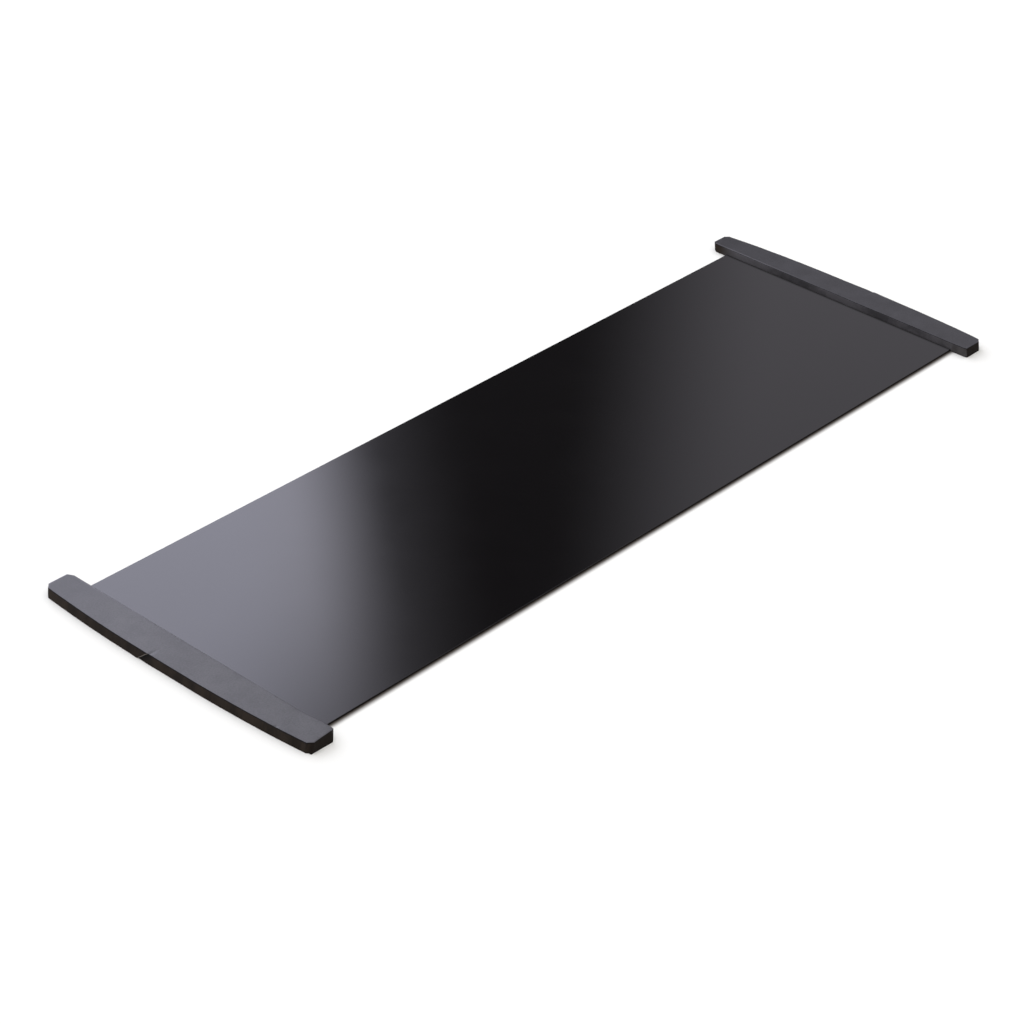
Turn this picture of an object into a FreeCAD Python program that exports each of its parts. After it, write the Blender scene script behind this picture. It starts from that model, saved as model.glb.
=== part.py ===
import FreeCAD, Part
import math
import os

# A slide board for lateral skating exercise: a thin slippery sheet on an anti-slip backing, with a low
# soft stop across each end. A stop is a foam block stiffened by a batten, wrapped in an edge band and
# topped with a skin. Flat-head screws from below pass through the sheet into inserts in the batten.
#
# The origin is on the floor at the centre of the footprint. +X runs along the slide direction, +Y
# across it and +Z up. The left stop is at -X and the right stop at +X. Lengths are in millimetres.

# Whole board
BOARD_LENGTH = 1800.0
STOP_LENGTH = 610.0
STOP_HEIGHT = 18.0

# Sheet and backing
SHEET_WIDTH = 540.0
SHEET_THICKNESS = 3.0
BACKING_THICKNESS = 1.0
BACKING_INSET = 3.0
SHEET_CORNER_RADIUS = 4.0
SHEET_EDGE_ROUND = 0.3
SHEET_END_MARGIN = 18.0

# Stop outline: a straight inner side, and an outer side that is flat in the middle and then falls
# away towards both ends in arcs that leave the flat tangentially
STOP_MID_WIDTH = 66.0
BOW_FLAT_HALF = 50.0
BOW_RADIUS = 2700.0
INNER_CORNER_CUT = 4.5
OUTER_CORNER_CUT = 7.0
CORNER_ROUND = 2.0

# Skins of a stop
BAND_THICKNESS = 1.5
SKIN_THICKNESS = 0.8
SKIN_EDGE_ROUND = 0.4
SEAM_TOP_Y = 46.0
SEAM_BOTTOM_Y = 68.0
SEAM_GAP = 0.6
SHEET_CLEARANCE = 0.3

# Batten and its fasteners
RAIL_WIDTH = 30.0
RAIL_HEIGHT = 8.0
RAIL_LENGTH = 520.0
RAIL_INNER_WALL = 14.0
RAIL_EDGE_CUT = 1.0
SCREW_COUNT = 6
SCREW_PITCH = 90.0
SCREW_RADIUS = 2.5
SCREW_HEAD_RADIUS = 4.6
SCREW_HEAD_RIM = 0.4
SCREW_LENGTH = 10.0
SOCKET_WIDTH = 3.0
SOCKET_DEPTH = 1.6
INSERT_RADIUS = 3.6
INSERT_FLANGE_RADIUS = 4.6
INSERT_FLANGE_HEIGHT = 0.6
INSERT_LENGTH = 7.2
FIT_CLEARANCE = 0.1
BACKING_HOLE_RADIUS = 6.0

# Derived places
HALF_LENGTH = BOARD_LENGTH / 2
HALF_STOP = STOP_LENGTH / 2
HALF_SHEET = SHEET_WIDTH / 2
STOP_INNER_X = HALF_LENGTH - STOP_MID_WIDTH
SHEET_BOTTOM = BACKING_THICKNESS
SHEET_TOP = BACKING_THICKNESS + SHEET_THICKNESS
SHEET_HALF_LENGTH = HALF_LENGTH - SHEET_END_MARGIN
SKIN_BOTTOM = STOP_HEIGHT - SKIN_THICKNESS
RAIL_X = STOP_INNER_X + RAIL_INNER_WALL + RAIL_WIDTH / 2
RAIL_TOP = SHEET_TOP + RAIL_HEIGHT
SCREW_CONE_HEIGHT = SCREW_HEAD_RADIUS - SCREW_RADIUS

UP = FreeCAD.Vector(0, 0, 1)
ORIGIN = FreeCAD.Vector(0, 0, 0)


def box(x_range, y_range, z_range):
    """Box between two values on each axis."""
    size = [high - low for low, high in (x_range, y_range, z_range)]
    corner = FreeCAD.Vector(x_range[0], y_range[0], z_range[0])
    return Part.makeBox(size[0], size[1], size[2], corner)


def group(shapes):
    """Separate solids kept together as one node."""
    return Part.makeCompound(shapes)


def screw_places():
    """Centres of a stop's screws, in one row across the sheet."""
    first = -SCREW_PITCH * (SCREW_COUNT - 1) / 2
    return [FreeCAD.Vector(RAIL_X, first + SCREW_PITCH * i, 0) for i in range(SCREW_COUNT)]


def outer_side(y):
    """X of the stop's outer side at a distance y from the middle."""
    run = max(0.0, abs(y) - BOW_FLAT_HALF)
    return HALF_LENGTH - BOW_RADIUS + math.sqrt(BOW_RADIUS ** 2 - run ** 2)


def stop_profile():
    """Plan outline of the right stop as a face on the floor, with sharp corners still on its cuts."""
    outer_y = HALF_STOP - OUTER_CORNER_CUT
    inner_y = HALF_STOP - INNER_CORNER_CUT
    mid_y = (BOW_FLAT_HALF + outer_y) / 2

    def at(x, y):
        return FreeCAD.Vector(x, y, 0)

    def bow(side):
        start = at(HALF_LENGTH, side * BOW_FLAT_HALF)
        middle = at(outer_side(mid_y), side * mid_y)
        return Part.Arc(start, middle, at(outer_side(outer_y), side * outer_y)).toShape()

    def end(side):
        corners = [
            at(outer_side(outer_y), side * outer_y),
            at(outer_side(HALF_STOP) - OUTER_CORNER_CUT, side * HALF_STOP),
            at(STOP_INNER_X + INNER_CORNER_CUT, side * HALF_STOP),
            at(STOP_INNER_X, side * inner_y),
        ]
        return [Part.makeLine(a, b) for a, b in zip(corners, corners[1:])]

    flat = Part.makeLine(at(HALF_LENGTH, -BOW_FLAT_HALF), at(HALF_LENGTH, BOW_FLAT_HALF))
    inner = Part.makeLine(at(STOP_INNER_X, -inner_y), at(STOP_INNER_X, inner_y))
    edges = [flat, bow(1), inner, bow(-1)] + end(1) + end(-1)
    return Part.Face(Part.Wire(Part.sortEdges(edges)[0]))


def is_corner_edge(edge):
    """True for an upright edge at one of the cut corners."""
    start, finish = (vertex.Point for vertex in edge.Vertexes)
    upright = math.hypot(start.x - finish.x, start.y - finish.y) < 1e-6
    return upright and abs(start.y) > HALF_STOP - 2 * OUTER_CORNER_CUT


def stop_prism(inset, bottom, top):
    """The stop's outline, drawn in by inset, as a solid between two heights with rounded corners."""
    face = stop_profile()
    face.translate(UP * bottom)
    solid = face.extrude(UP * (top - bottom))
    straight_edges = [edge for edge in solid.Edges if len(edge.Vertexes) == 2]
    solid = solid.makeFillet(CORNER_ROUND, [edge for edge in straight_edges if is_corner_edge(edge)])
    if inset == 0:
        return solid
    floor = min(solid.Faces, key=lambda candidate: candidate.CenterOfMass.z)
    return floor.makeOffset2D(-inset).extrude(UP * (top - bottom))


def sheet_tunnel(top):
    """Space that the sheet and its backing take up under a stop."""
    half_width = HALF_SHEET + SHEET_CLEARANCE
    far_end = SHEET_HALF_LENGTH + SHEET_CLEARANCE
    return box((STOP_INNER_X - BAND_THICKNESS, far_end), (-half_width, half_width), (-top, top))


def rail_solid(grow):
    """The batten's block with its long upper edges cut, grown on every side by the given amount."""
    half_width = RAIL_WIDTH / 2 + grow
    half_length = RAIL_LENGTH / 2 + grow
    block = box(
        (RAIL_X - half_width, RAIL_X + half_width),
        (-half_length, half_length),
        (SHEET_TOP, RAIL_TOP + grow),
    )
    long_edges = [
        edge
        for edge in block.Edges
        if edge.BoundBox.YLength > RAIL_LENGTH / 2 and edge.BoundBox.ZMin > SHEET_TOP + 1
    ]
    return block.makeChamfer(RAIL_EDGE_CUT, long_edges)


def slide_sheet():
    """The slippery sheet, with rounded corners and edges and a countersunk hole for each screw."""
    sheet = box(
        (-SHEET_HALF_LENGTH, SHEET_HALF_LENGTH), (-HALF_SHEET, HALF_SHEET), (SHEET_BOTTOM, SHEET_TOP)
    )
    upright = [edge for edge in sheet.Edges if edge.BoundBox.ZLength > SHEET_THICKNESS / 2]
    sheet = sheet.makeFillet(SHEET_CORNER_RADIUS, upright)
    rim = [edge for edge in sheet.Edges if edge.BoundBox.ZMin > SHEET_TOP - 1e-6]
    sheet = sheet.makeFillet(SHEET_EDGE_ROUND, rim)
    holes = [screw_blank(place, FIT_CLEARANCE) for place in screw_places()]
    return sheet.cut(group(holes + [turned(hole) for hole in holes]))


def grip_backing():
    """The anti-slip layer under the sheet, set in from its edges, with a hole under each screw head."""
    backing = box(
        (-SHEET_HALF_LENGTH + BACKING_INSET, SHEET_HALF_LENGTH - BACKING_INSET),
        (-HALF_SHEET + BACKING_INSET, HALF_SHEET - BACKING_INSET),
        (0, BACKING_THICKNESS),
    )
    upright = [edge for edge in backing.Edges if edge.BoundBox.ZLength > BACKING_THICKNESS / 2]
    backing = backing.makeFillet(SHEET_CORNER_RADIUS, upright)
    holes = [Part.makeCylinder(BACKING_HOLE_RADIUS, SHEET_TOP, place - UP) for place in screw_places()]
    return backing.cut(group(holes + [turned(hole) for hole in holes]))


def stop_foam():
    """The block: the stop's outline inside its band, hollowed underneath for sheet and batten."""
    block = stop_prism(BAND_THICKNESS, BACKING_THICKNESS, SKIN_BOTTOM)
    return block.cut(sheet_tunnel(SHEET_TOP)).cut(rail_solid(SHEET_CLEARANCE))


def stop_edge_band():
    """The strip round the block's sides, notched over the sheet and slit at its slanted seam."""
    outside = stop_prism(0, 0, SKIN_BOTTOM)
    inside = stop_prism(BAND_THICKNESS, 0, SKIN_BOTTOM)
    band = outside.cut(inside).cut(sheet_tunnel(SHEET_TOP))
    return band.cut(seam_slit())


def seam_slit():
    """Thin slanted slot through the band's outer side, where the strip's two ends meet."""
    depth = 2 * BAND_THICKNESS
    corners = [
        FreeCAD.Vector(HALF_LENGTH - depth, -SEAM_BOTTOM_Y, 0),
        FreeCAD.Vector(HALF_LENGTH - depth, -SEAM_BOTTOM_Y + SEAM_GAP, 0),
        FreeCAD.Vector(HALF_LENGTH - depth, -SEAM_TOP_Y + SEAM_GAP, STOP_HEIGHT),
        FreeCAD.Vector(HALF_LENGTH - depth, -SEAM_TOP_Y, STOP_HEIGHT),
    ]
    slot = Part.Face(Part.makePolygon(corners + corners[:1]))
    return slot.extrude(FreeCAD.Vector(2 * depth, 0, 0))


def stop_top_skin():
    """The skin over block and band, with its upper rim rounded."""
    skin = stop_prism(0, SKIN_BOTTOM, STOP_HEIGHT)
    rim = [edge for edge in skin.Edges if edge.BoundBox.ZMin > STOP_HEIGHT - 1e-6]
    return skin.makeFillet(SKIN_EDGE_ROUND, rim)


def stop_sole():
    """The anti-slip layer under the stop, as a C round the end of the sheet."""
    layer = stop_prism(BAND_THICKNESS, 0, BACKING_THICKNESS)
    return layer.cut(sheet_tunnel(SHEET_TOP))


def stop_rail():
    """The batten, bored for its inserts."""
    bores = [insert_blank(place, FIT_CLEARANCE) for place in screw_places()]
    return rail_solid(0).cut(group(bores))


def insert_blank(place, clearance):
    """An insert without its thread, flanged at the batten's underside."""
    foot = place + UP * SHEET_TOP
    barrel = Part.makeCylinder(INSERT_RADIUS + clearance, INSERT_LENGTH + clearance, foot)
    flange = Part.makeCylinder(INSERT_FLANGE_RADIUS + clearance, INSERT_FLANGE_HEIGHT + clearance, foot)
    return barrel.fuse(flange)


def stop_inserts():
    """Threaded inserts, with the thread shown as a plain bore."""
    inserts = []
    for place in screw_places():
        bore = Part.makeCylinder(SCREW_RADIUS + FIT_CLEARANCE, STOP_HEIGHT, place)
        inserts.append(insert_blank(place, 0).cut(bore))
    return group(inserts)


def screw_blank(place, clearance):
    """A flat-head screw without its socket: rim, cone and shank, head downwards."""
    foot = place + UP * SHEET_BOTTOM
    head_radius = SCREW_HEAD_RADIUS + clearance
    shank_radius = SCREW_RADIUS + clearance
    rim = Part.makeCylinder(head_radius, SCREW_HEAD_RIM, foot)
    cone = Part.makeCone(head_radius, shank_radius, SCREW_CONE_HEIGHT, foot + UP * SCREW_HEAD_RIM)
    shank = Part.makeCylinder(shank_radius, SCREW_LENGTH, foot)
    return rim.fuse([cone, shank])


def hex_socket(place):
    """Hexagonal recess in a screw's head."""
    corner_radius = SOCKET_WIDTH / math.sqrt(3)
    corners = []
    for i in range(7):
        angle = math.radians(60 * i)
        corners.append(FreeCAD.Vector(math.cos(angle), math.sin(angle), 0) * corner_radius)
    recess = Part.Face(Part.makePolygon(corners)).extrude(UP * SOCKET_DEPTH)
    recess.translate(place + UP * SHEET_BOTTOM)
    return recess


def stop_screws():
    """The flat-head screws that hold the stop to the sheet."""
    return group([screw_blank(place, 0).cut(hex_socket(place)) for place in screw_places()])


def turned(shape):
    """The shape turned half a turn about the board's upright axis, from the right end to the left."""
    copy = shape.copy()
    copy.rotate(ORIGIN, UP, 180)
    return copy


def main():
    nodes = {"slide_sheet": slide_sheet(), "grip_backing": grip_backing()}
    stop_pieces = {
        "foam": stop_foam(),
        "edge_band": stop_edge_band(),
        "top_skin": stop_top_skin(),
        "sole": stop_sole(),
        "rail": stop_rail(),
        "inserts": stop_inserts(),
        "screws": stop_screws(),
    }
    for name, shape in stop_pieces.items():
        nodes["right_stop_" + name] = shape
        nodes["left_stop_" + name] = turned(shape)
    os.makedirs("parts", exist_ok=True)
    for name, shape in nodes.items():
        shape.exportStep("parts/" + name + ".step")


main()
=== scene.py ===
import math

import bmesh
import bpy
from mathutils import Matrix, Vector, noise


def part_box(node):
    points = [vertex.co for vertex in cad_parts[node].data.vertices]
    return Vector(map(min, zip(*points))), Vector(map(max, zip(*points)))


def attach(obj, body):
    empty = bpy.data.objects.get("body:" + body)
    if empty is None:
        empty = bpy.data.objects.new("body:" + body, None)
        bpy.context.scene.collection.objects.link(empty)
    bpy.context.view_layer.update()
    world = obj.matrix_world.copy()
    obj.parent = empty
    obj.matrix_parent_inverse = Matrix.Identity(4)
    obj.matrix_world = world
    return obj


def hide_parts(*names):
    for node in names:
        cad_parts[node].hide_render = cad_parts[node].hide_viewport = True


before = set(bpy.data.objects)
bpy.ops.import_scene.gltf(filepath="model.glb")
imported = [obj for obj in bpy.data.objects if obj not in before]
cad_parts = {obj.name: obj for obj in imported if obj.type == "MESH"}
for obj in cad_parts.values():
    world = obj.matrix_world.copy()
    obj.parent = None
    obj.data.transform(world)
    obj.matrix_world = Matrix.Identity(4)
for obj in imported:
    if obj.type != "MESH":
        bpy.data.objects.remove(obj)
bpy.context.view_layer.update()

# Looks of a slide board: a satin black plastic sheet between two soft end stops, on a white studio floor.
# Everything is in metres in the row frame. A stop is drawn once in its own plan coordinates, u outwards
# from its inner side and v along it, and then placed at either end of the board.

MM = 0.001

# Places taken from the frame
SHEET_LOW, SHEET_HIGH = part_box("slide_sheet")
SKIN_LOW, SKIN_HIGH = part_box("right_stop_top_skin")
FOAM_INNER_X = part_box("right_stop_foam")[0].x
SHEET_WIDTH = SHEET_HIGH.y - SHEET_LOW.y
HALF_SHEET = SHEET_WIDTH / 2
STOP_X = SKIN_LOW.x
STOP_WIDTH = SKIN_HIGH.x - SKIN_LOW.x
HALF_STOP = SKIN_HIGH.y
STOP_TOP = SKIN_HIGH.z
SKIN_BOTTOM = SKIN_LOW.z
BAND_THICKNESS = FOAM_INNER_X - STOP_X

# Plan outline of a stop, as the CAD part has it, and the reach of the part of it redrawn at each end
BOW_FLAT_HALF = 50 * MM
BOW_RADIUS = 2700 * MM
CORNER_ROUND = 2 * MM
END_REACH = 14 * MM
STATION_STEP = 2.5 * MM
SEAM_STATION_STEP = 0.75 * MM

# How far the shaping of a stop's sides and ends reaches into it
OUTER_BLEND = (-30 * MM, -3 * MM)
INNER_BLEND = 30 * MM
FLARE_SPAN = (HALF_STOP - 80 * MM, HALF_STOP - 10 * MM)
END_SPAN = (HALF_STOP - 60 * MM, HALF_STOP - 5 * MM)
FOOT_SPAN = (HALF_STOP - 12 * MM, HALF_STOP)

# Lengths of the soft surface's waves
SLOW_WAVE = 90 * MM
QUICK_WAVE = 22 * MM
TOP_WAVE = 75 * MM

# Skin and band
SKIN_RIM = 0.3 * MM
BAND_EDGE = 0.35 * MM
BAND_BULGE = 0.25 * MM
BAND_LEVELS = 6
TOP_RINGS = 12
RIM_STEPS = 4
SEAM_LINE_GAP = 0.08 * MM
SHEET_NOTCH = HALF_SHEET + 0.3 * MM
FOAM_VOXEL = 1.6 * MM

# Seam on a stop's outer side: the flap end lies over the tucked end along a slanted line
SEAM_TOP_V = -46 * MM
SEAM_BOTTOM_V = -68 * MM
SEAM_V = (SEAM_TOP_V + SEAM_BOTTOM_V) / 2
SEAM_REACH = 34 * MM
FLAP_RISE = 0.8 * MM
FLAP_RAMP = 18 * MM
TUCK_DEPTH = 1.0 * MM
TUCK_RAMP = 20 * MM
TUCK_LENGTH = 8 * MM
FLAP_BEVEL = 2.2 * MM
BEVEL_REACH = 4 * MM
SEAM_SHADE_REACH = 20 * MM
CREASE_DEPTH = 0.35 * MM
CREASE_REACH = 24 * MM
CREASE_HALF_WIDTH = 3 * MM

# Small nick in the left stop's upper outer edge
NICK_V = 232 * MM
NICK_DEPTH = 1.1 * MM
NICK_HALF_LENGTH = 1.8 * MM

# Painted contact shade: of the sheen beside a stop, and a painted shadow on the floor beside the sheet
SHEEN_FADE = 8 * MM
CONTACT_REACH = 13 * MM

# Painted sheen and shade, darkening and scuff patches on the stops, as the pair of distances along Y between
# which each sets in, from none to full
SKIN_DARK_SPAN = (120 * MM, 300 * MM)
RIM_SHEEN_SPAN = (50 * MM, 200 * MM)
BAND_SHEEN_SPAN = (140 * MM, 230 * MM)
BAND_END_SHADE_SPAN = (HALF_STOP - 10 * MM, HALF_STOP - 3 * MM)
SHEEN_AND_SCUFF_POSITIVE_SPAN = (HALF_SHEET + 24 * MM, HALF_SHEET - 30 * MM)
SHEEN_AND_SCUFF_NEGATIVE_SPAN = (-HALF_SHEET - 6 * MM, -HALF_SHEET)

# Camera, with lengths in sheet widths
VIEW_AZIMUTH = math.radians(-48.854)
VIEW_ELEVATION = math.radians(32.56)
VIEW_ROLL = math.radians(2.021)
VIEW_DISTANCE = 9.087 * SHEET_WIDTH
VIEW_TARGET = Vector((-0.3117, -0.1156, 0)) * SHEET_WIDTH
LENS = 101.08
SENSOR = 36

# Studio surroundings: levels, azimuths in degrees from +X towards +Y, and elevations in degrees. An edge
# is the pair of angles between which a light fades, from dark to bright.
DARK_LEVEL = 0.065
PANEL_LEVEL = 2.22
PANEL_EDGE = (43.8, 46.4)
PANEL_FAR_EDGE = (150, 90)
PANEL_TOP = (41.5, 34.2)
PANEL_TOP_SLOPE = 0.57
PANEL_TOP_AZIMUTH = 48
PANEL_TOP_END = 56
SHOULDER_LEVEL = 0.86
SHOULDER_EDGE = (41.6, 48.1)
SECOND_LEVEL = 0.574
SECOND_EDGE = (40.3, 35.6)
BEHIND_EDGE = (135, 178)
OVERHEAD_LEVEL = 0.62
OVERHEAD_EDGE = (35, 60)
LEAN_HEIGHT = 0.545
PANEL_LEAN = 0.26
SECOND_LEAN = -0.09


def smooth(low, high, value):
    """0 below low, 1 above high and a smooth step between."""
    t = min(1.0, max(0.0, (value - low) / (high - low)))
    return t * t * (3 - 2 * t)


def wave(length, amplitude, *place):
    """Smooth irregular height of about the given amplitude, with features of about the given length."""
    return amplitude * noise.noise(Vector(place).to_3d() / length)


# ---------------------------------------------------------------- plan outline of a stop


def outer_side(v):
    """How far out the stop's outer side is at v."""
    run = max(0.0, abs(v) - BOW_FLAT_HALF)
    return STOP_WIDTH - BOW_RADIUS + math.sqrt(BOW_RADIUS ** 2 - run ** 2)


def side_stations():
    """Values of v along a long side, closer together round the seam."""
    end = HALF_STOP - END_REACH
    stations = [-end]
    while stations[-1] < end:
        near_seam = abs(stations[-1] - SEAM_V) < SEAM_REACH
        stations.append(stations[-1] + (SEAM_STATION_STEP if near_seam else STATION_STEP))
    stations[-1] = end
    return stations


def rounded(points, radius, steps=5):
    """The open polyline with each inner corner replaced by an arc of about the given radius."""
    result = [points[0]]
    for before, corner, after in zip(points, points[1:], points[2:]):
        towards = (before - corner).normalized()
        away = (after - corner).normalized()
        turn = math.pi - towards.angle(away)
        shorter_side = min((before - corner).length, (after - corner).length)
        reach = min(radius * math.tan(turn / 2), 0.4 * shorter_side)
        start = corner + towards * reach
        finish = corner + away * reach
        for i in range(steps + 1):
            t = i / steps
            result.append(start * (1 - t) ** 2 + corner * 2 * t * (1 - t) + finish * t ** 2)
    return result + [points[-1]]


def filled_in(points, spacing):
    """The polyline with points added so that no step is longer than the spacing."""
    result = [points[0]]
    for start, finish in zip(points, points[1:]):
        count = max(1, math.ceil((finish - start).length / spacing))
        result += [start.lerp(finish, (i + 1) / count) for i in range(count)]
    return result


def end_outline(inner_cut, outer_cut):
    """The stop's end at positive v, from its inner side round both cut corners to its outer side.

    A cut is given as its reach along u and along v.
    """
    start_v = HALF_STOP - END_REACH
    outer_v = HALF_STOP - outer_cut[1]
    corners = [
        Vector((0, start_v)),
        Vector((0, HALF_STOP - inner_cut[1])),
        Vector((inner_cut[0], HALF_STOP)),
        Vector((outer_side(HALF_STOP) - outer_cut[0], HALF_STOP)),
        Vector((outer_side(outer_v), outer_v)),
        Vector((outer_side(start_v), start_v)),
    ]
    return filled_in(rounded(corners, CORNER_ROUND), 2 * MM)


def stop_outline(stop):
    """Closed plan outline in (u, v): up the inner side, round the end, and back down the outer side."""
    stations = side_stations()
    inner = [Vector((0, v)) for v in stations]
    outer = [Vector((outer_side(v), v)) for v in reversed(stations)]
    positive_end = end_outline(stop.inner_cuts[1], stop.outer_cuts[1])
    mirrored_end = end_outline(stop.inner_cuts[0], stop.outer_cuts[0])
    negative_end = [Vector((point.x, -point.y)) for point in reversed(mirrored_end)]
    return inner + positive_end[1:-1] + outer + negative_end[1:-1]


def outward_normals(loop):
    """Unit normals of the closed outline, pointing outwards."""
    normals = []
    for i in range(len(loop)):
        along = (loop[(i + 1) % len(loop)] - loop[i - 1]).normalized()
        normals.append(Vector((-along.y, along.x)))
    return normals


# ---------------------------------------------------------------- shape of a stop's pieces


class Stop:
    """One stop of the board: where it goes and how its soft surface departs from the plain shape.

    Corner cuts, like ends, come in pairs: at negative v, then at positive v. The outer side is drawn in
    by pull, by a further lean at the top, and by skew more at the positive end and less at the negative
    one. The inner side's top flares out over the sheet at the positive end, and its foot goes back by
    half as much. Foot narrows the positive end's outer cut towards the floor. Each end is drawn in by
    its own amounts at the inner and outer side, for the top and for the floor, and a negative amount
    draws it out.
    """

    def __init__(
        self, side, seed, wobble, inner_cuts, outer_cuts, pull, lean, skew, flare, foot, ends, nicked
    ):
        self.side = side
        self.sign = -1 if side == "left" else 1
        self.seed = seed
        self.wobble = wobble
        self.inner_cuts = inner_cuts
        self.outer_cuts = outer_cuts
        self.pull = pull
        self.lean = lean
        self.skew = skew
        self.flare = flare
        self.foot = foot
        self.ends = ends
        self.nicked = nicked

    def place(self, u, v, z):
        """Row-frame position of a point given in the stop's own plan coordinates."""
        return Vector((self.sign * (STOP_X + u), self.sign * v, z))

    def direction(self, normal):
        """Row-frame direction of a plan direction."""
        return Vector((self.sign * normal.x, self.sign * normal.y, 0))

    def shift_u(self, u, v, z):
        """How far a point moves towards the sheet: the outer side's draw-in and the inner side's flare."""
        height = z / STOP_TOP
        by_outer_side = smooth(*OUTER_BLEND, u - outer_side(v))
        drawn = by_outer_side * (self.pull + self.lean * height + self.skew * v / HALF_STOP)
        by_inner_side = 1 - smooth(0, INNER_BLEND, u)
        by_end = smooth(*FLARE_SPAN, v)
        return drawn + self.flare * by_inner_side * by_end * (1.5 * height - 0.5)

    def shift_v(self, u, v, z):
        """How far a point moves along the stop, because its end is drawn in."""
        top, floor = [inner + (outer - inner) * u / STOP_WIDTH for inner, outer in self.ends[v > 0]]
        amount = floor + (top - floor) * z / STOP_TOP
        inwards = -math.copysign(1, v)
        return inwards * amount * smooth(*END_SPAN, abs(v))

    def foot_spread(self, u, v, z):
        """How far the corner between the outer cut and the positive end moves outwards at the foot."""
        side_u = outer_side(HALF_STOP)
        corner_u = side_u - self.outer_cuts[1][0]
        by_corner = smooth(0, corner_u, u) * (1 - smooth(corner_u, side_u, u))
        return self.foot * by_corner * smooth(*FOOT_SPAN, v) * (1 - z / STOP_TOP)

    def behind_cuts(self, u, v):
        """The point (u, v), moved in where it has to be to stay behind the band at a cut corner."""
        point = Vector((u, abs(v)))
        inner_cut = (-1, 0.0, self.inner_cuts[v > 0])
        outer_cut = (1, outer_side(HALF_STOP), self.outer_cuts[v > 0])
        for sign, corner_u, (reach_u, reach_v) in (inner_cut, outer_cut):
            normal = Vector((sign * reach_v, reach_u)).normalized()
            start = Vector((corner_u - sign * reach_u, HALF_STOP))
            beyond = (point - start).dot(normal) + BAND_THICKNESS
            point -= normal * max(0.0, beyond)
        return point.x, math.copysign(point.y, v)

    def formed(self, u, v, z):
        """Row-frame position of a point after the stop's sides and ends are drawn to shape."""
        moved_u = u - self.shift_u(u, v, z) + self.foot_spread(u, v, z)
        return self.place(moved_u, v + self.shift_v(u, v, z), z)

    def swell(self, v, z):
        """Outward waviness of the sides."""
        slow = wave(SLOW_WAVE, self.wobble, v, self.seed)
        quick = wave(QUICK_WAVE, 0.35 * self.wobble, v, z, self.seed)
        return slow + quick

    def top_relief(self, u, v):
        """Height of the top face above its plain level: soft unevenness, and a crease beside the seam."""
        uneven = wave(TOP_WAVE, 0.5 * self.wobble, u, v, self.seed)
        by_side = smooth(STOP_WIDTH - CREASE_REACH, STOP_WIDTH, u)
        crease_v = SEAM_TOP_V + CREASE_HALF_WIDTH
        beside_seam = math.exp(-((v - crease_v) / CREASE_HALF_WIDTH) ** 2)
        return uneven - CREASE_DEPTH * by_side * beside_seam

    def nick(self, v):
        """Depth of the small nick in the upper outer edge."""
        if not self.nicked:
            return 0.0
        return NICK_DEPTH * math.exp(-((v - NICK_V) / NICK_HALF_LENGTH) ** 2)


def seam_v(z):
    """Where along the stop the slanted seam is at height z."""
    return SEAM_BOTTOM_V + (SEAM_TOP_V - SEAM_BOTTOM_V) * z / STOP_TOP


def flap_relief(distance):
    """How far the flap stands out at a distance back from its end."""
    return FLAP_RISE * (1 - smooth(0.3 * FLAP_RAMP, FLAP_RAMP, distance))


def tuck_relief(distance):
    """How far the other end is pressed in at a distance past the flap's end."""
    return -TUCK_DEPTH * (1 - smooth(0.5 * MM, TUCK_RAMP, distance))


def band_section(low, high):
    """Outline of the band's cross-section as (depth inwards, height), with rounded outer corners."""
    r = BAND_EDGE
    bow = 0.3 * r
    section = [(BAND_THICKNESS, low), (BAND_THICKNESS, high), (r, high), (bow, high - bow)]
    for i in range(BAND_LEVELS + 1):
        section.append((0.0, high - r - (high - low - 2 * r) * i / BAND_LEVELS))
    return section + [(bow, low + bow), (r, low)]


def band_low(point):
    """Height of the band's lower edge: on the floor, but over the sheet on the inner side."""
    over_sheet = point.x < BAND_THICKNESS and abs(point.y) < SHEET_NOTCH
    return SHEET_HIGH.z + SEAM_LINE_GAP if over_sheet else 0.0


def band_mesh(stop):
    """The strip swept round the stop from its flap end to its tucked end."""
    loop = stop_outline(stop)
    normals = outward_normals(loop)
    start = seam_index(loop, SEAM_V)
    finish = seam_index(loop, SEAM_V - TUCK_LENGTH)
    order = list(range(start, len(loop))) + list(range(finish + 1))
    high = SKIN_BOTTOM - SEAM_LINE_GAP
    vertices = []
    for position, index in enumerate(order):
        point, normal = loop[index], normals[index]
        tucked = position > len(order) / 2
        section = band_section(band_low(point), high)
        vertices += [band_vertex(stop, point, normal, depth, z, tucked) for depth, z in section]
    return vertices, swept_faces(len(order), len(section))


def seam_index(loop, v):
    """Index of the outline point on the outer side nearest to v."""
    return min(range(len(loop)), key=lambda i: abs(loop[i].y - v) + abs(loop[i].x - STOP_WIDTH))


def band_vertex(stop, point, normal, depth, z, tucked):
    """One point of the band, leaned along the outline near the seam and raised or pressed in there."""
    u, v = point
    out = -depth + stop.swell(v, z) + BAND_BULGE * math.sin(math.pi * z / SKIN_BOTTOM)
    if u > STOP_WIDTH / 2 and abs(v - SEAM_V) < SEAM_REACH:
        v += (seam_v(z) - SEAM_V) * (1 - smooth(0, SEAM_REACH, abs(v - SEAM_V)))
        u = outer_side(v)
        if tucked:
            out += tuck_relief(v - seam_v(z))
        else:
            out += flap_relief(seam_v(z) - v)
            v -= FLAP_BEVEL * (1 - depth / BAND_THICKNESS) * smooth(-BEVEL_REACH, 0, v - seam_v(z))
    return stop.formed(u, v, z) + stop.direction(normal) * out


def ring_faces(rings, size):
    """Quads between consecutive closed rings."""
    faces = []
    for i in range(rings - 1):
        for j in range(size):
            k = (j + 1) % size
            faces.append((i * size + j, i * size + k, (i + 1) * size + k, (i + 1) * size + j))
    return faces


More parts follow.
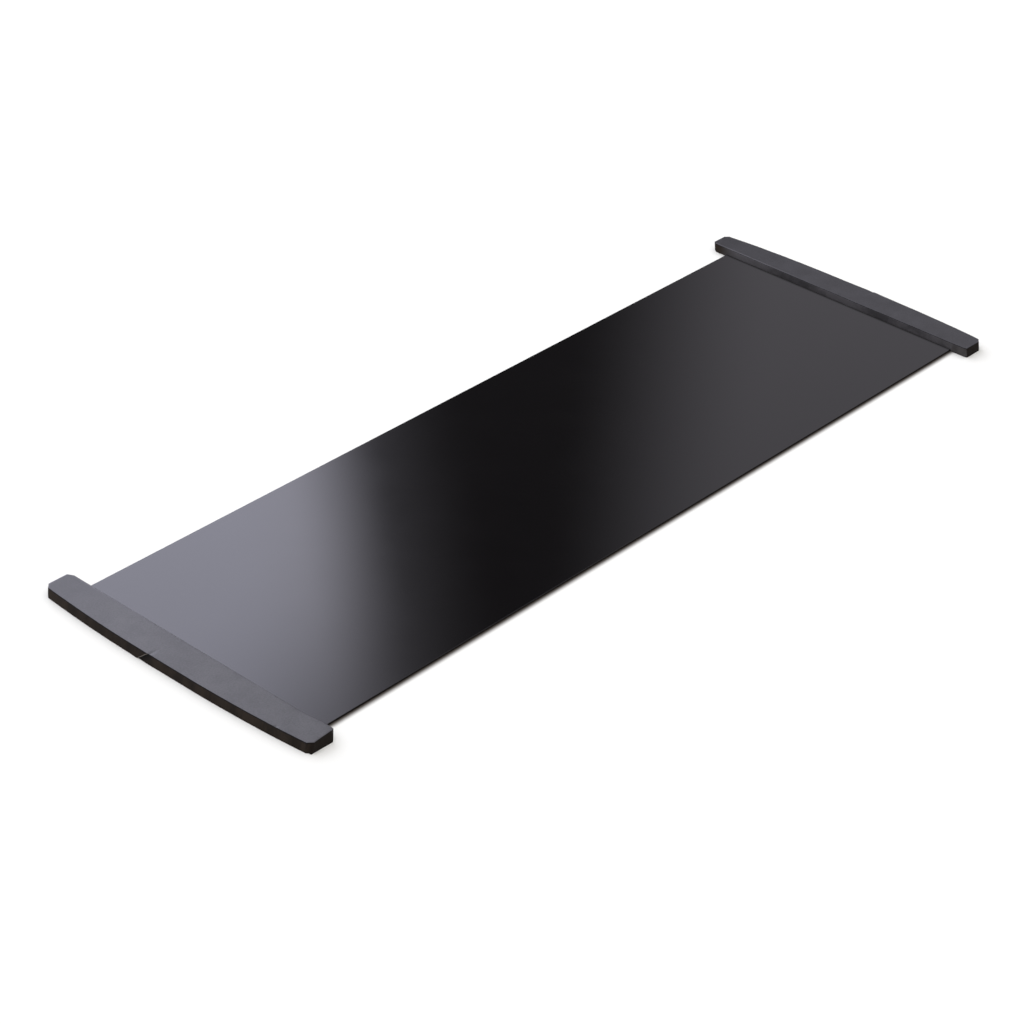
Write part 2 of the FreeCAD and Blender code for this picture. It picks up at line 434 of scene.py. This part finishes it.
def swept_faces(sections, size):
    """Faces of a strip with the given number of closed sections, capped at both ends."""
    last = (sections - 1) * size
    first_cap = tuple(range(size))
    last_cap = tuple(last + j for j in reversed(range(size)))
    return ring_faces(sections, size) + [first_cap, last_cap]


def skin_rings():
    """Rings of the top skin as (inset, height, share of the way to the middle), upper side first."""
    rings = [(SKIN_RIM, STOP_TOP, 1 - i / TOP_RINGS) for i in range(TOP_RINGS)]
    for i in range(RIM_STEPS + 1):
        angle = math.pi / 2 * i / RIM_STEPS
        rings.append((SKIN_RIM * (1 - math.sin(angle)), STOP_TOP - SKIN_RIM * (1 - math.cos(angle)), 0))
    rings.append((0.0, SKIN_BOTTOM, 0))
    rings.append((BAND_THICKNESS, SKIN_BOTTOM, 0))
    rings.append((BAND_THICKNESS, SKIN_BOTTOM, 1))
    return rings


def skin_mesh(stop):
    """The top skin as rings from the middle line out over its rounded rim and back underneath."""
    loop = stop_outline(stop)
    normals = outward_normals(loop)
    spine_end = HALF_STOP - STOP_WIDTH / 2
    vertices = []
    rings = skin_rings()
    for inset, z, share in rings:
        for point, normal in zip(loop, normals):
            edge = point - normal * inset
            spine = Vector((STOP_WIDTH / 2, max(-spine_end, min(spine_end, point.y))))
            u, v = edge.lerp(spine, share)
            vertices.append(skin_vertex(stop, u, v, z, normal, 1 - share))
    return vertices, ring_faces(len(rings), len(loop))


def skin_vertex(stop, u, v, z, normal, nearness):
    """One point of the skin, moved with the unevenness, crease, seam and nick."""
    out = stop.swell(v, z) * nearness
    lift = 0.0
    upper = smooth(SKIN_BOTTOM, STOP_TOP, z)
    if u > STOP_WIDTH / 2:
        past_seam = v - seam_v(z)
        seam_relief = tuck_relief(past_seam) if past_seam > 0 else flap_relief(-past_seam)
        out += 0.5 * seam_relief * nearness ** 4
        out -= stop.nick(v) * nearness ** 8
        lift -= stop.nick(v) * upper * nearness ** 8
    lift += stop.top_relief(u, v) * upper
    return stop.formed(u, v, z) + stop.direction(normal) * out + Vector((0, 0, lift))


def soft_piece(name, mesh, material, node_name):
    """An object that stands for a CAD node, rides on the board and isn't mirrored in the sheet."""
    mesh.materials.clear()
    mesh.materials.append(material)
    made = bpy.data.objects.new(name, mesh)
    bpy.context.scene.collection.objects.link(made)
    made.visible_glossy = False
    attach(made, "root")
    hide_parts(node_name)
    return made


def smooth_mesh(name, vertices, faces):
    """A smooth-shaded mesh that keeps its sharp edges."""
    mesh = bpy.data.meshes.new(name)
    shape = bmesh.new()
    corners = [shape.verts.new(vertex) for vertex in vertices]
    for face in faces:
        shape.faces.new([corners[i] for i in face])
    bmesh.ops.remove_doubles(shape, verts=shape.verts, dist=1e-6)
    bmesh.ops.recalc_face_normals(shape, faces=shape.faces)
    shape.to_mesh(mesh)
    shape.free()
    mesh.shade_smooth()
    mesh.set_sharp_from_angle(angle=math.radians(50))
    return mesh


def top_skin(stop, material):
    """The skin on a stop's top face."""
    name = stop.side + "_top_skin"
    mesh = smooth_mesh(name, *skin_mesh(stop))
    soft_piece(name, mesh, material, stop.side + "_stop_top_skin")


def edge_band(stop, material, cut_edge):
    """The band round a stop. Its two end faces, the only ones of many corners, show its cut edge."""
    name = stop.side + "_edge_band"
    mesh = smooth_mesh(name, *band_mesh(stop))
    soft_piece(name, mesh, material, stop.side + "_stop_edge_band")
    mesh.materials.append(cut_edge)
    for face in mesh.polygons:
        face.material_index = int(len(face.vertices) > 4)


def formed_copy(stop, part, material):
    """A copy of a CAD piece inside the stop, drawn to shape like the band round it."""
    node_name = stop.side + "_stop_" + part
    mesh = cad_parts[node_name].data.copy()
    for vertex in mesh.vertices:
        u = stop.sign * vertex.co.x - STOP_X
        v = stop.sign * vertex.co.y
        beyond_sheet = u > SHEET_HIGH.x - STOP_X + MM or abs(v) > SHEET_NOTCH + MM
        if beyond_sheet:
            vertex.co = stop.formed(*stop.behind_cuts(u, v), vertex.co.z)
    return soft_piece(stop.side + "_" + part + "_layer", mesh, material, node_name)


def foam_block(stop, material):
    """The foam, with its edges softened."""
    foam = formed_copy(stop, "foam", material)
    remesh = foam.modifiers.new("soft_edges", "REMESH")
    remesh.mode = "VOXEL"
    remesh.voxel_size = FOAM_VOXEL
    remesh.use_smooth_shade = True


# ---------------------------------------------------------------- materials


class Nodes:
    """Adds and links shader nodes in one tree."""

    def __init__(self, tree):
        self.tree = tree
        tree.nodes.clear()

    def add(self, kind, inputs=None, **settings):
        """A node of the given kind. An input given as a socket is linked, and a value is set."""
        node = self.tree.nodes.new("ShaderNode" + kind)
        for name, value in settings.items():
            setattr(node, name, value)
        for name, value in (inputs or {}).items():
            if isinstance(value, bpy.types.NodeSocket):
                self.tree.links.new(value, node.inputs[name])
            else:
                node.inputs[name].default_value = value
        return node

    def math(self, operation, first, second=0.0):
        return self.add("Math", {0: first, 1: second}, operation=operation).outputs[0]

    def ramp(self, value, low, high, from_value=0.0, to_value=1.0):
        """Smooth step of a value between two limits."""
        inputs = {
            "Value": value,
            "From Min": low,
            "From Max": high,
            "To Min": from_value,
            "To Max": to_value,
        }
        return self.add("MapRange", inputs, interpolation_type="SMOOTHSTEP").outputs["Result"]

    def place(self, stretch=(1, 1, 1)):
        """Object coordinates in metres, scaled per axis."""
        position = self.add("TexCoord").outputs["Object"]
        return self.add("Mapping", {"Vector": position, "Scale": stretch}).outputs["Vector"]

    def part(self, vector, axis):
        """One component of a vector."""
        return self.add("SeparateXYZ", {0: vector}).outputs[axis]

    def noise(self, vector, scale, detail=2.0, roughness=0.5):
        inputs = {"Vector": vector, "Scale": scale, "Detail": detail, "Roughness": roughness}
        return self.add("TexNoise", inputs).outputs["Fac"]

    def blend(self, share, first, second):
        """Mix of two values, with the given share of the first."""
        rest = self.math("MULTIPLY", second, 1 - share)
        return self.math("ADD", self.math("MULTIPLY", first, share), rest)

    def mix(self, share, first, second):
        """Mix of two colours, with the given share of the second."""
        node = self.add("Mix", {0: share}, data_type="RGBA")
        for socket, colour in ((node.inputs[6], first), (node.inputs[7], second)):
            if isinstance(colour, bpy.types.NodeSocket):
                self.tree.links.new(colour, socket)
            else:
                socket.default_value = (*colour, 1)
        return node.outputs[2]

    def bump(self, height, distance, strength=1.0, normal=None):
        inputs = {"Height": height, "Distance": distance, "Strength": strength}
        if normal is not None:
            inputs["Normal"] = normal
        return self.add("Bump", inputs).outputs["Normal"]

    def surface(self, inputs):
        """A principled surface as the tree's output."""
        shader = self.add("BsdfPrincipled", inputs)
        self.add("OutputMaterial", {"Surface": shader.outputs[0]})


def new_material(name):
    """An empty node material and its node builder."""
    material = bpy.data.materials.new(name)
    material.use_nodes = True
    return material, Nodes(material.node_tree)


def sheet_material():
    """Satin polyethylene: nearly black, with a sheen that a faint orange peel softens.

    Close to a stop the sheen fades in a painted shade, because the stop stands before the bright
    surroundings there.
    """
    material, nodes = new_material("satin_sheet")
    place = nodes.place()
    peel = nodes.noise(place, 260, 3)
    haze = nodes.noise(place, 9, 4)
    distance = nodes.math("ABSOLUTE", nodes.part(place, "X"))
    surface = {
        "Base Color": nodes.mix(haze, (0.0012, 0.0009, 0.0009), (0.0018, 0.0014, 0.0014)),
        "Roughness": nodes.ramp(haze, 0.2, 0.8, 0.045, 0.065),
        # Painted shade: the sheen's specular level falls within SHEEN_FADE of a stop.
        "Specular IOR Level": nodes.ramp(distance, STOP_X - SHEEN_FADE, STOP_X, 0.5, 0.05),
        "IOR": 1.5,
        "Normal": nodes.bump(peel, 0.0015 * MM),
    }
    nodes.surface(surface)
    return material


def skin_material(name, dark, light, gloss):
    """Grained grey-black skin of a stop, blacker on its thin cut edge.

    It darkens towards the +Y end, and a painted highlight runs as a paler line along its inner rim there.
    """
    material, nodes = new_material(name)
    place = nodes.place()
    blotch = nodes.noise(place, 28, 4, 0.6)
    speck = nodes.noise(place, 330, 3)
    grain = nodes.noise(place, 2200, 2)
    tone = nodes.blend(0.5, blotch, speck)
    plain = nodes.mix(nodes.ramp(tone, 0.32, 0.68), dark, light)
    across = nodes.part(place, "Y")
    shade = nodes.mix(nodes.ramp(across, *SKIN_DARK_SPAN, 0.0, 0.35), plain, (0, 0, 0))
    # Painted highlight: a paler line along the inner rim, stronger towards +Y.
    outwards = nodes.math("ABSOLUTE", nodes.part(place, "X"))
    by_rim = nodes.ramp(outwards, STOP_X + 4.5 * MM, STOP_X + MM)
    painted_sheen = nodes.math("MULTIPLY", by_rim, nodes.ramp(across, *RIM_SHEEN_SPAN, 0.1, 1.0))
    top = nodes.mix(painted_sheen, shade, (0.062, 0.061, 0.062))
    facing_up = nodes.part(nodes.add("NewGeometry").outputs["Normal"], "Z")
    upright = nodes.ramp(facing_up, 0.75, 0.35)
    surface = {
        "Base Color": nodes.mix(upright, top, (0.003, 0.003, 0.004)),
        "Roughness": nodes.ramp(tone, 0.3, 0.7, 0.30, 0.36),
        "Specular IOR Level": nodes.ramp(upright, 0.0, 1.0, gloss, 0.04),
        "Normal": nodes.bump(grain, 0.04 * MM),
    }
    nodes.surface(surface)
    return material


def seam_shade(nodes, place):
    """Share of painted shadow on the tucked end of the band, strongest at the seam."""
    side = nodes.math("SIGN", nodes.part(place, "X"))
    along = nodes.math("MULTIPLY", nodes.part(place, "Y"), side)
    slope = (SEAM_TOP_V - SEAM_BOTTOM_V) / STOP_TOP
    seam = nodes.math("ADD", nodes.math("MULTIPLY", nodes.part(place, "Z"), slope), SEAM_BOTTOM_V)
    past = nodes.math("SUBTRACT", along, seam)
    fading = nodes.ramp(past, SEAM_SHADE_REACH, 0.0)
    return nodes.math("MULTIPLY", fading, nodes.ramp(past, -MM, 0.0))


def inner_sheen_and_scuff(nodes, place):
    """Share of painted sheen and scuff on the band: along its inner side, fading out past the sheet's two
    edges.
    """
    outwards = nodes.math("ABSOLUTE", nodes.part(place, "X"))
    across = nodes.part(place, "Y")
    by_inner_side = nodes.ramp(outwards, STOP_X + 3 * MM, STOP_X + MM)
    by_positive_end = nodes.ramp(across, *SHEEN_AND_SCUFF_POSITIVE_SPAN)
    by_negative_end = nodes.ramp(across, *SHEEN_AND_SCUFF_NEGATIVE_SPAN, 0.6, 1.0)
    return nodes.math("MULTIPLY", nodes.math("MULTIPLY", by_inner_side, by_positive_end), by_negative_end)


def band_material():
    """Brown-black band with faint upright streaks, painted a paler grey on its inner side as a painted sheen
    with scuff patches.

    It has painted shade beside its seam, in the groove under the skin and round the stop's ends.
    """
    material, nodes = new_material("edge_band")
    place = nodes.place()
    streak = nodes.noise(nodes.place((300, 300, 25)), 1, 3)
    smudge = nodes.noise(nodes.place((1, 1, 0.35)), 30, 3, 0.6)
    scuff = nodes.noise(place, 22, 4, 0.6)
    grain = nodes.noise(place, 1800, 2)
    across = nodes.part(place, "Y")
    height = nodes.part(place, "Z")
    tone = nodes.ramp(nodes.blend(0.65, smudge, streak), 0.36, 0.64)
    plain = nodes.mix(tone, (0.0085, 0.0059, 0.0035), (0.0230, 0.0165, 0.0106))
    # Painted shadow on the tucked end beside the seam.
    plain = nodes.mix(seam_shade(nodes, place), plain, (0.0012, 0.0010, 0.0008))
    # Painted shade in the groove under the skin's edge.
    groove = nodes.ramp(height, SKIN_BOTTOM - 1.7 * MM, SKIN_BOTTOM - 0.5 * MM, 0.0, 0.8)
    plain = nodes.mix(groove, plain, (0.003, 0.003, 0.004))
    # Painted shade: the band is darker round the stop's ends.
    by_end = nodes.ramp(nodes.math("ABSOLUTE", across), *BAND_END_SHADE_SPAN)
    plain = nodes.mix(by_end, plain, (0.0082, 0.0057, 0.0036))
    # Painted sheen with scuff patches: the inner side is a paler grey, paler still towards +Y.
    scuff_patches_and_sheen = nodes.mix(nodes.ramp(scuff, 0.35, 0.65), (0.044, 0.0425, 0.041), (0.084, 0.081, 0.079))
    painted_sheen = nodes.mix(nodes.ramp(across, *BAND_SHEEN_SPAN, 0.0, 0.85), scuff_patches_and_sheen, (0.110, 0.107, 0.105))
    surface = {
        "Base Color": nodes.mix(inner_sheen_and_scuff(nodes, place), plain, painted_sheen),
        "Roughness": nodes.ramp(streak, 0.3, 0.7, 0.8, 0.92),
        "Specular IOR Level": 0.15,
        "Normal": nodes.bump(grain, 0.05 * MM, 1.0, nodes.bump(streak, 0.12 * MM)),
    }
    nodes.surface(surface)
    return material


def cut_edge_material():
    """Raw cut edge of the band: paler and fibrous."""
    material, nodes = new_material("band_cut_edge")
    fibre = nodes.noise(nodes.place((900, 900, 200)), 1, 3)
    surface = {
        "Base Color": nodes.mix(fibre, (0.11, 0.10, 0.088), (0.20, 0.18, 0.16)),
        "Roughness": nodes.ramp(fibre, 0.3, 0.7, 0.8, 0.9),
        "Specular IOR Level": 0.15,
        "Normal": nodes.bump(fibre, 0.1 * MM),
    }
    nodes.surface(surface)
    return material


def foam_material():
    """Closed-cell foam: matt, pocked with small cells."""
    material, nodes = new_material("closed_cell_foam")
    place = nodes.place()
    cells = nodes.add("TexVoronoi", {"Vector": place, "Scale": 900}).outputs["Distance"]
    tone = nodes.noise(place, 60, 3)
    surface = {
        "Base Color": nodes.mix(tone, (0.020, 0.019, 0.019), (0.034, 0.032, 0.032)),
        "Roughness": 0.9,
        "Specular IOR Level": 0.2,
        "Normal": nodes.bump(cells, 0.25 * MM),
    }
    nodes.surface(surface)
    return material


def grip_material():
    """Anti-slip layer: soft rubber pressed with a fine raised diamond grid."""
    material, nodes = new_material("grip_layer")
    turned = nodes.add("Mapping", {"Vector": nodes.place(), "Rotation": (0, 0, math.radians(45))})
    ridges = []
    for direction in ("X", "Y"):
        inputs = {"Vector": turned.outputs[0], "Scale": 50, "Distortion": 0.0}
        ridges.append(nodes.add("TexWave", inputs, bands_direction=direction).outputs["Fac"])
    grid = nodes.math("MAXIMUM", *ridges)
    dust = nodes.noise(nodes.place(), 35, 4)
    surface = {
        "Base Color": nodes.mix(dust, (0.020, 0.020, 0.021), (0.040, 0.040, 0.041)),
        "Roughness": nodes.ramp(dust, 0.3, 0.7, 0.7, 0.85),
        "Normal": nodes.bump(grid, 0.3 * MM),
    }
    nodes.surface(surface)
    return material


def wood_material():
    """Plywood batten: long grain with thin darker glue lines through its height."""
    material, nodes = new_material("plywood")
    grain = nodes.noise(nodes.place((120, 6, 400)), 1, 4)
    plies = nodes.add("TexWave", {"Vector": nodes.place(), "Scale": 200}, bands_direction="Z").outputs["Fac"]
    tone = nodes.mix(grain, (0.40, 0.27, 0.15), (0.58, 0.43, 0.27))
    surface = {
        "Base Color": nodes.mix(nodes.ramp(plies, 0.8, 1.0, 0.0, 0.7), tone, (0.16, 0.09, 0.05)),
        "Roughness": nodes.ramp(grain, 0.3, 0.7, 0.6, 0.75),
        "Normal": nodes.bump(grain, 0.1 * MM),
    }
    nodes.surface(surface)
    return material


def metal_material(name, dark, light, roughness):
    """Machined metal with fine turning marks and slight tarnish."""
    material, nodes = new_material(name)
    tarnish = nodes.noise(nodes.place(), 400, 3)
    marks = nodes.noise(nodes.place((1, 1, 20)), 700, 2)
    surface = {
        "Base Color": nodes.mix(tarnish, dark, light),
        "Metallic": 1.0,
        "Roughness": nodes.ramp(tarnish, 0.3, 0.7, roughness, roughness + 0.12),
        "Normal": nodes.bump(marks, 0.02 * MM),
    }
    nodes.surface(surface)
    return material


def floor_material():
    """Plain white studio floor, with a darker, browner painted contact shadow along the sheet's -Y edge."""
    material, nodes = new_material("studio_floor")
    place = nodes.place()
    tone = nodes.noise(place, 1.5, 2)
    plain = nodes.mix(tone, (0.845, 0.86, 0.75), (0.86, 0.875, 0.765))
    across = nodes.part(place, "Y")
    by_edge = nodes.ramp(across, -HALF_SHEET - CONTACT_REACH, -HALF_SHEET)
    negative_side = nodes.ramp(across, 0.0, -MM)
    distance = nodes.math("ABSOLUTE", nodes.part(place, "X"))
    between_stops = nodes.ramp(distance, STOP_X + 20 * MM, STOP_X)
    # Painted contact shadow: darker and browner within CONTACT_REACH of the sheet's -Y edge, between the
    # stops.
    shadow = nodes.math("MULTIPLY", nodes.math("MULTIPLY", by_edge, between_stops), negative_side)
    surface = {
        "Base Color": nodes.mix(shadow, plain, (0.08, 0.07, 0.055)),
        "Roughness": 1.0,
        "Specular IOR Level": 0.0,
    }
    nodes.surface(surface)
    return material


# ---------------------------------------------------------------- light, floor and camera


def azimuth_ramp(nodes, azimuth, start, finish):
    """Smooth step of the azimuth between two angles in degrees."""
    return nodes.ramp(azimuth, math.radians(start), math.radians(finish))


def elevation_ramp(nodes, height, start, finish):
    """Smooth step of the elevation between two angles in degrees, for a direction's height."""
    return nodes.ramp(height, math.sin(math.radians(start)), math.sin(math.radians(finish)))


def studio_light():
    """Soft studio surroundings, which the sheet mirrors, with a plain white backdrop for the camera.

    There is a broad overhead light, a tall bright panel with a dimmer shoulder on the +Y side, and a
    second dim light on the -Y side. Behind the board, at -X, the shoulder gives way to the second.
    """
    world = bpy.data.worlds.new("studio")
    bpy.context.scene.world = world
    world.use_nodes = True
    nodes = Nodes(world.node_tree)
    direction = nodes.add("SeparateXYZ", {0: nodes.add("TexCoord").outputs["Generated"]}).outputs
    height = direction[2]
    azimuth = nodes.math("ARCTAN2", direction[1], direction[0])
    above = nodes.math("SUBTRACT", height, LEAN_HEIGHT)
    panel_side = nodes.math("ADD", azimuth, nodes.math("MULTIPLY", above, PANEL_LEAN))
    second_side = nodes.math("ADD", azimuth, nodes.math("MULTIPLY", above, SECOND_LEAN))
    along_top = nodes.math("MINIMUM", azimuth, math.radians(PANEL_TOP_END))
    past = nodes.math("SUBTRACT", along_top, math.radians(PANEL_TOP_AZIMUTH))
    top = nodes.math("SUBTRACT", height, nodes.math("MULTIPLY", past, PANEL_TOP_SLOPE))

    behind = azimuth_ramp(nodes, azimuth, *BEHIND_EDGE)
    panel = nodes.math("MULTIPLY", azimuth_ramp(nodes, panel_side, *PANEL_EDGE), PANEL_LEVEL)
    panel = nodes.math("MULTIPLY", panel, azimuth_ramp(nodes, azimuth, *PANEL_FAR_EDGE))
    panel = nodes.math("MULTIPLY", panel, elevation_ramp(nodes, top, *PANEL_TOP))
    shoulder = nodes.math("SUBTRACT", azimuth_ramp(nodes, panel_side, *SHOULDER_EDGE), behind)
    shoulder = nodes.math("MULTIPLY", shoulder, SHOULDER_LEVEL)
    second = nodes.math("ADD", azimuth_ramp(nodes, second_side, *SECOND_EDGE), behind)
    second = nodes.math("MULTIPLY", second, SECOND_LEVEL)
    overhead = nodes.math("MULTIPLY", elevation_ramp(nodes, height, *OVERHEAD_EDGE), OVERHEAD_LEVEL)

    level = DARK_LEVEL
    for light in (panel, shoulder, second, overhead):
        level = nodes.math("ADD", light, level)
    cool = nodes.math("SUBTRACT", azimuth_ramp(nodes, azimuth, *SHOULDER_EDGE), behind)
    tint = nodes.mix(cool, (1.04, 1.0, 1.1), (1.0, 1.0, 1.19))
    studio = nodes.add("Background", {"Color": tint, "Strength": level})
    backdrop = nodes.add("Background", {"Color": (1, 1, 1, 1), "Strength": 1.0})
    seen = nodes.add("LightPath").outputs["Is Camera Ray"]
    both = nodes.add("MixShader", {0: seen, 1: studio.outputs[0], 2: backdrop.outputs[0]})
    nodes.add("OutputWorld", {"Surface": both.outputs[0]})


def studio_floor():
    """A wide floor just under the board."""
    bpy.ops.mesh.primitive_plane_add(size=60, location=(0, 0, -0.1 * MM))
    floor = bpy.context.object
    floor.name = "floor"
    floor.data.materials.append(floor_material())


def camera():
    """A long lens looking down the board from beyond its left end."""
    back = Vector((
        math.sin(VIEW_AZIMUTH) * math.cos(VIEW_ELEVATION),
        -math.cos(VIEW_AZIMUTH) * math.cos(VIEW_ELEVATION),
        math.sin(VIEW_ELEVATION),
    ))
    data = bpy.data.cameras.new("camera")
    data.lens = LENS
    data.sensor_width = SENSOR
    view = bpy.data.objects.new("camera", data)
    bpy.context.scene.collection.objects.link(view)
    level = (-back).to_track_quat("-Z", "Y").to_matrix().to_4x4()
    place = Matrix.Translation(VIEW_TARGET + back * VIEW_DISTANCE)
    view.matrix_world = place @ level @ Matrix.Rotation(VIEW_ROLL, 4, "Z")
    bpy.context.scene.camera = view


def paint(material, *names):
    """Gives CAD nodes a material."""
    for name in names:
        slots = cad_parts[name].data.materials
        slots.clear()
        slots.append(material)


def hide_from_sheen(*names):
    """Keeps pieces out of the sheet's mirror image."""
    for name in names:
        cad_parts[name].visible_glossy = False


def build_stop(stop, skin, band, cut_edge, foam, grip):
    """The soft pieces of one stop, which hide its hard ones."""
    hide_from_sheen(*[stop.side + "_stop_" + part for part in ("rail", "inserts", "screws")])
    top_skin(stop, skin)
    edge_band(stop, band, cut_edge)
    foam_block(stop, foam)
    formed_copy(stop, "sole", grip)


def main():
    paint(sheet_material(), "slide_sheet")
    grip = grip_material()
    paint(grip, "grip_backing")
    paint(wood_material(), "left_stop_rail", "right_stop_rail")
    brass = metal_material("brass", (0.62, 0.44, 0.18), (0.78, 0.60, 0.30), 0.28)
    paint(brass, "left_stop_inserts", "right_stop_inserts")
    zinc = metal_material("zinc_plated_steel", (0.42, 0.42, 0.44), (0.60, 0.60, 0.62), 0.3)
    paint(zinc, "left_stop_screws", "right_stop_screws")
    # The left skin is painted paler than the right one: a painted sheen on the near stop. The two skins
    # stand for one material.
    sheen_lit_left_skin = skin_material("sheen_lit_left_skin", (0.037, 0.037, 0.0355), (0.067, 0.067, 0.065), 0.41)
    right_skin = skin_material("right_skin", (0.012, 0.012, 0.0125), (0.027, 0.027, 0.028), 0.42)
    band = band_material()
    cut_edge = cut_edge_material()
    foam = foam_material()
    left = Stop(
        "left",
        seed=0.37,
        wobble=0.35 * MM,
        inner_cuts=((6 * MM, 11 * MM), (1.2 * MM, 7 * MM)),
        outer_cuts=((7.5 * MM, 8 * MM), (8.5 * MM, 8.5 * MM)),
        pull=0.6 * MM,
        lean=3.0 * MM,
        skew=1.4 * MM,
        flare=4.5 * MM,
        foot=5 * MM,
        ends=(((-1.5 * MM, -1.5 * MM), (1 * MM, 1 * MM)), ((6 * MM, 1 * MM), (0.0, 1.5 * MM))),
        nicked=True,
    )
    right = Stop(
        "right",
        seed=0.71,
        wobble=0.8 * MM,
        inner_cuts=((2 * MM, 5 * MM), (4.5 * MM, 7 * MM)),
        outer_cuts=((10 * MM, 6.5 * MM), (7.5 * MM, 7 * MM)),
        pull=7.2 * MM,
        lean=0.6 * MM,
        skew=3.2 * MM,
        flare=0.0,
        foot=0.0,
        ends=(((0.5 * MM, 0.0), (-3 * MM, -3 * MM)), ((-1.5 * MM, -1.5 * MM), (1 * MM, 1 * MM))),
        nicked=False,
    )
    build_stop(left, sheen_lit_left_skin, band, cut_edge, foam, grip)
    build_stop(right, right_skin, band, cut_edge, foam, grip)
    studio_light()
    studio_floor()
    camera()
    bpy.context.scene.view_settings.view_transform = "Standard"


main()
